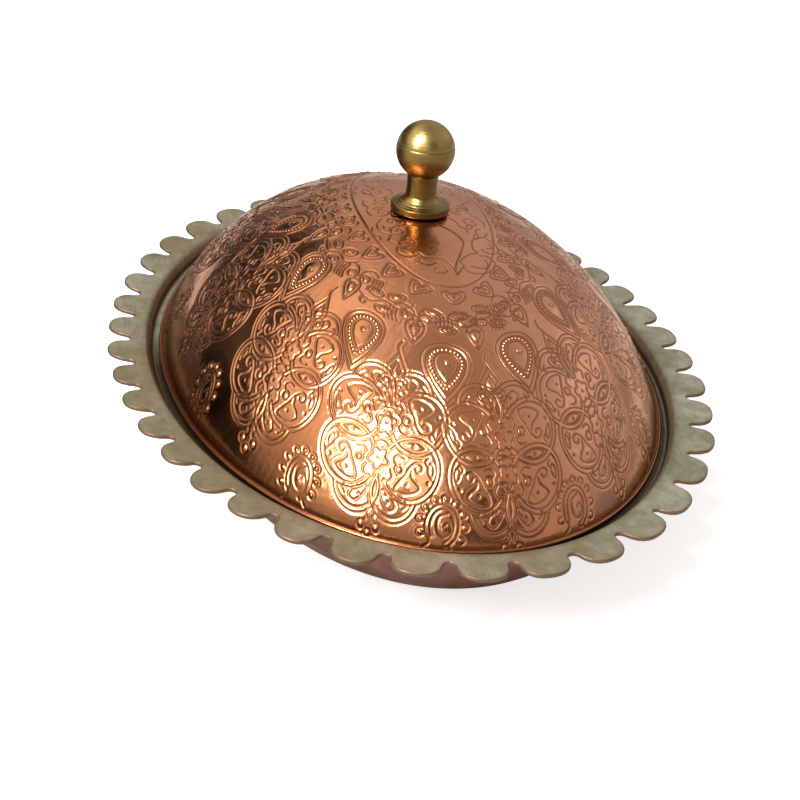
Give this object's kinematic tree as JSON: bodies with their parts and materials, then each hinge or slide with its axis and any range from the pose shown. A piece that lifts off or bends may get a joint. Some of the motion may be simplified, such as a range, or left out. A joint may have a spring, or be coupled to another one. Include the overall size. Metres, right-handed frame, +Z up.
{
  "type": "butter dish",
  "caption": "Oval tinned copper dish with a flange cut into rounded tongues, and a lift-off chased copper dome lid with a turned brass ball knob.",
  "frame": {"origin": "on the table, under the middle of the dish's flat base", "axes": "+X along the dish's length, +Y across its width, +Z up through the knob"},
  "size_m": [0.21, 0.156, 0.0861],
  "materials": {
    "tinned_copper": "hot-tinned copper sheet, dull grey-green satin on top, bare brown copper underneath and on the cut edges",
    "chased_copper": "polished copper sheet with a chased pattern whose lines are darkened",
    "turned_brass": "satin brass with fine turning lines",
    "plated_steel": "dull zinc-plated steel"
  },
  "bodies": {
    "dish": {"dish": "tinned_copper"},
    "lid": {"lid_dome": "chased_copper", "knob": "turned_brass", "knob_washer": "turned_brass", "knob_screw": "plated_steel"}
  },
  "joints": [
    {"name": "lid_lift", "type": "slide", "parent": "dish", "child": "lid", "axis": [0, 0, 1], "range_m": [0, 0.12]}
  ]
}
